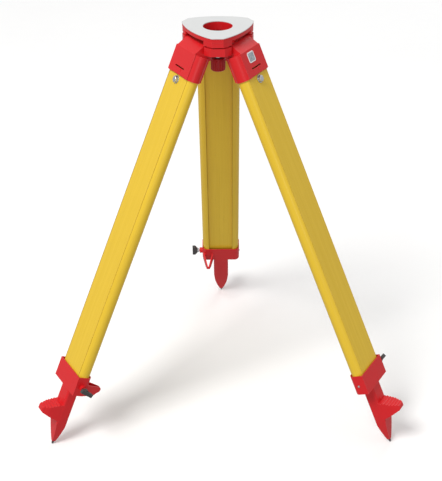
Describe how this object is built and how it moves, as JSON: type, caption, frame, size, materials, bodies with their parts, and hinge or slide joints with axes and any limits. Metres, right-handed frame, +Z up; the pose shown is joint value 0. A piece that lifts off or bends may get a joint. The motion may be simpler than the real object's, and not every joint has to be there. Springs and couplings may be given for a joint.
{
  "type": "surveying tripod",
  "caption": "Heavy wooden surveying tripod: rounded triangular head with a central opening and fixing screw, telescoping railed legs with side clamps and spiked, ribbed feet.",
  "frame": {"origin": "on the ground, straight below the middle of the head's opening, with the legs at their shown spread", "axes": "+Z up along the head's opening; +Y from the middle towards the back leg"},
  "size_m": [0.8442, 0.7537, 0.9429],
  "materials": {
    "red_casting": "painted, semi-gloss",
    "white_plate": "painted, satin",
    "yellow_wood": "painted, semi-gloss",
    "steel": "zinc plated",
    "black_plastic": "moulded",
    "red_plastic": "moulded, ribbed",
    "brass": "turned",
    "black_steel": "powder coated",
    "label": "printed film"
  },
  "bodies": {
    "head": {"head_casting": "red_casting", "top_plate": "white_plate", "hinge_blocks": "red_casting", "hinge_pins": "steel", "block_screws": "steel", "arm_pivot": "steel"},
    "arm": {"swing_arm": "black_steel"},
    "carriage": {"screw_bush": "brass"},
    "screw_carrier": {"thrust_washer": "black_plastic"},
    "screw": {"fixing_screw": "steel", "screw_knob": "red_plastic", "plumb_hook": "steel"},
    "leg_back": {"leg_cap_back": "red_casting", "rail_near_back": "yellow_wood", "rail_far_back": "yellow_wood", "collar_back": "red_casting", "rail_screw_back": "steel"},
    "slide_back": {"board_back": "yellow_wood", "stop_bolt_back": "steel", "stop_washer_back": "steel", "stop_block_back": "red_casting", "foot_back": "red_casting", "foot_point_back": "steel", "foot_rivet_back": "red_casting"},
    "shoe_back": {"clamp_shoe_back": "steel"},
    "wing_back": {"wing_screw_back": "steel", "wing_grip_back": "black_plastic"},
    "leg_left": {"leg_cap_left": "red_casting", "rail_near_left": "yellow_wood", "rail_far_left": "yellow_wood", "collar_left": "red_casting", "rail_screw_left": "steel"},
    "slide_left": {"board_left": "yellow_wood", "stop_bolt_left": "steel", "stop_washer_left": "steel", "stop_block_left": "red_casting", "foot_left": "red_casting", "foot_point_left": "steel", "foot_rivet_left": "red_casting"},
    "shoe_left": {"clamp_shoe_left": "steel"},
    "wing_left": {"wing_screw_left": "steel", "wing_grip_left": "black_plastic"},
    "leg_right": {"leg_cap_right": "red_casting", "rail_near_right": "yellow_wood", "rail_far_right": "yellow_wood", "collar_right": "red_casting", "rail_screw_right": "steel", "label_plate": "label"},
    "slide_right": {"board_right": "yellow_wood", "stop_bolt_right": "steel", "stop_washer_right": "steel", "stop_block_right": "red_casting", "foot_right": "red_casting", "foot_point_right": "steel", "foot_rivet_right": "red_casting"},
    "shoe_right": {"clamp_shoe_right": "steel"},
    "wing_right": {"wing_screw_right": "steel", "wing_grip_right": "black_plastic"}
  },
  "joints": [
    {"name": "arm_swing", "type": "hinge", "parent": "head", "child": "arm", "pos_m": [0, -0.042, 0.9064], "axis": [0, 0, 1], "range_deg": [-20, 20]},
    {"name": "carriage_slide", "type": "slide", "parent": "arm", "child": "carriage", "axis": [0, 1, 0], "range_m": [-0.016, 0.016]},
    {"name": "screw_lift", "type": "slide", "parent": "carriage", "child": "screw_carrier", "axis": [0, 0, 1], "range_m": [0, 0.028]},
    {"name": "screw_spin", "type": "hinge", "parent": "screw_carrier", "child": "screw", "pos_m": [0, 0, 0.8929], "axis": [0, 0, 1], "continuous": true},
    {"name": "leg_fold_back", "type": "hinge", "parent": "head", "child": "leg_back", "pos_m": [0, 0.05, 0.9069], "axis": [1, 0, 0], "range_deg": [-24.5, 20]},
    {"name": "leg_slide_back", "type": "slide", "parent": "leg_back", "child": "slide_back", "axis": [0, 0.4147, -0.91], "range_m": [0, 0.685]},
    {"name": "shoe_press_back", "type": "slide", "parent": "leg_back", "child": "shoe_back", "axis": [-1, 0, 0], "range_m": [0, 0.00125]},
    {"name": "wing_turn_back", "type": "hinge", "parent": "shoe_back", "child": "wing_back", "pos_m": [-0.0643, 0.39343, 0.16777], "axis": [-1, 0, 0], "range_deg": [0, 360]},
    {"name": "leg_fold_left", "type": "hinge", "parent": "head", "child": "leg_left", "pos_m": [-0.0433, -0.025, 0.9069], "axis": [-0.5, 0.866, 0], "range_deg": [-24.5, 20]},
    {"name": "leg_slide_left", "type": "slide", "parent": "leg_left", "child": "slide_left", "axis": [-0.3591, -0.2073, -0.91], "range_m": [0, 0.685]},
    {"name": "shoe_press_left", "type": "slide", "parent": "leg_left", "child": "shoe_left", "axis": [0.5, -0.866, 0], "range_m": [0, 0.00125]},
    {"name": "wing_turn_left", "type": "hinge", "parent": "shoe_left", "child": "wing_left", "pos_m": [-0.30857, -0.2524, 0.16777], "axis": [0.5, -0.866, 0], "range_deg": [0, 360]},
    {"name": "leg_fold_right", "type": "hinge", "parent": "head", "child": "leg_right", "pos_m": [0.0433, -0.025, 0.9069], "axis": [-0.5, -0.866, 0], "range_deg": [-24.5, 20]},
    {"name": "leg_slide_right", "type": "slide", "parent": "leg_right", "child": "slide_right", "axis": [0.3591, -0.2073, -0.91], "range_m": [0, 0.685]},
    {"name": "shoe_press_right", "type": "slide", "parent": "leg_right", "child": "shoe_right", "axis": [0.5, 0.866, 0], "range_m": [0, 0.00125]},
    {"name": "wing_turn_right", "type": "hinge", "parent": "shoe_right", "child": "wing_right", "pos_m": [0.37287, -0.14103, 0.16777], "axis": [0.5, 0.866, 0], "range_deg": [0, 360]}
  ],
  "couplings": [
    {"joint": "shoe_press_back", "follows": "wing_turn_back", "m_per_rad": 0.00019894},
    {"joint": "shoe_press_left", "follows": "wing_turn_left", "m_per_rad": 0.00019894},
    {"joint": "shoe_press_right", "follows": "wing_turn_right", "m_per_rad": 0.00019894}
  ]
}
